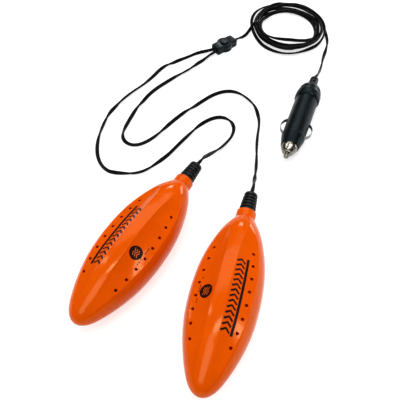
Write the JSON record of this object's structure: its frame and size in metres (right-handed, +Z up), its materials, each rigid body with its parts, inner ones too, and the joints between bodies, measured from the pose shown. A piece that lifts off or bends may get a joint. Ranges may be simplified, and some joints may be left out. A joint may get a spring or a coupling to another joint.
{
  "type": "boot dryer",
  "caption": "Twelve-volt boot dryer: fluted orange heating pods with vent holes on thin flat leads, an inline push switch, a coiled cord and a car plug.",
  "frame": {"origin": "on the floor under the middle of the box around the two pods", "axes": "+Y away from the viewer, from the pods' tips towards the switch and the coil; +Z up from the floor that the dryer lies on"},
  "size_m": [0.2312, 0.4347, 0.0421],
  "materials": {
    "orange_shell": "gloss moulded ABS",
    "black_rubber": "matt black rubber",
    "cord_sheath": "satin black PVC sheath",
    "black_plastic": "satin black moulded plastic",
    "button_plastic": "dark grey moulded plastic",
    "nickel": "nickel plate",
    "spring_steel": "dark oiled spring steel",
    "screw_steel": "zinc plated steel",
    "heater_ceramic": "grey-brown ceramic",
    "brass": "brass strip",
    "mica": "mica sheet",
    "aluminium": "extruded aluminium",
    "holder_plastic": "pale heat-proof plastic",
    "cutout_case": "moulded phenolic",
    "wire_red": "insulated wire",
    "fuse_glass": "clear glass"
  },
  "bodies": {
    "dryer": {"left_shell_top": "orange_shell", "left_shell_bottom": "orange_shell", "left_shell_screws": "screw_steel", "left_cable_boot": "black_rubber", "left_heating_tablets": "heater_ceramic", "left_electrode_plates": "brass", "left_insulator_sheets": "mica", "left_upper_heat_sink": "aluminium", "left_lower_heat_sink": "aluminium", "left_heater_brackets": "holder_plastic", "left_thermal_cutout": "cutout_case", "left_internal_wires": "wire_red", "right_shell_top": "orange_shell", "right_shell_bottom": "orange_shell", "right_shell_screws": "screw_steel", "right_cable_boot": "black_rubber", "right_heating_tablets": "heater_ceramic", "right_electrode_plates": "brass", "right_insulator_sheets": "mica", "right_upper_heat_sink": "aluminium", "right_lower_heat_sink": "aluminium", "right_heater_brackets": "holder_plastic", "right_thermal_cutout": "cutout_case", "right_internal_wires": "wire_red", "left_lead": "cord_sheath", "right_lead": "cord_sheath", "main_cord_start": "cord_sheath", "main_cord_end": "cord_sheath", "cord_coil": "cord_sheath", "switch_case_bottom": "black_plastic", "switch_case_top": "black_plastic", "switch_spring": "spring_steel", "switch_contacts": "brass", "switch_wire_crimps": "nickel", "plug_strain_relief": "black_rubber", "plug_end_cap": "black_plastic", "plug_barrel": "black_plastic", "plug_fuse_carrier": "holder_plastic", "plug_fuse_glass": "fuse_glass", "plug_fuse_caps": "nickel", "plug_fuse_spring": "spring_steel", "plug_wires": "wire_red"},
    "switch_button": {"switch_button": "button_plastic"},
    "plug_nose": {"plug_nose_ring": "black_plastic", "plug_metal_cone": "nickel", "plug_tip_spring": "spring_steel", "plug_fuse_seat": "brass"},
    "plug_tip": {"plug_tip_pin": "nickel"},
    "left_ground_spring": {"plug_left_ground_spring": "spring_steel"},
    "right_ground_spring": {"plug_right_ground_spring": "spring_steel"}
  },
  "joints": [
    {"name": "switch_press", "type": "slide", "parent": "dryer", "child": "switch_button", "axis": [0, 0, -1], "range_m": [0, 0.001], "stiffness_N_per_m": 600, "springref_m": -0.001, "deforming": ["switch_spring"]},
    {"name": "nose_pull", "type": "slide", "parent": "dryer", "child": "plug_nose", "axis": [-0.3584, -0.9336, 0], "range_m": [0, 0.014]},
    {"name": "tip_press", "type": "slide", "parent": "plug_nose", "child": "plug_tip", "axis": [0.3584, 0.9336, 0], "range_m": [0, 0.0025], "stiffness_N_per_m": 900, "springref_m": -0.001, "deforming": ["plug_tip_spring"]},
    {"name": "left_spring_press", "type": "slide", "parent": "dryer", "child": "left_ground_spring", "axis": [-0.9336, 0.3584, 0], "range_m": [0, 0.004], "stiffness_N_per_m": 800, "springref_m": -0.0005},
    {"name": "right_spring_press", "type": "slide", "parent": "dryer", "child": "right_ground_spring", "axis": [0.9336, -0.3584, 0], "range_m": [0, 0.004], "stiffness_N_per_m": 800, "springref_m": -0.0005}
  ]
}
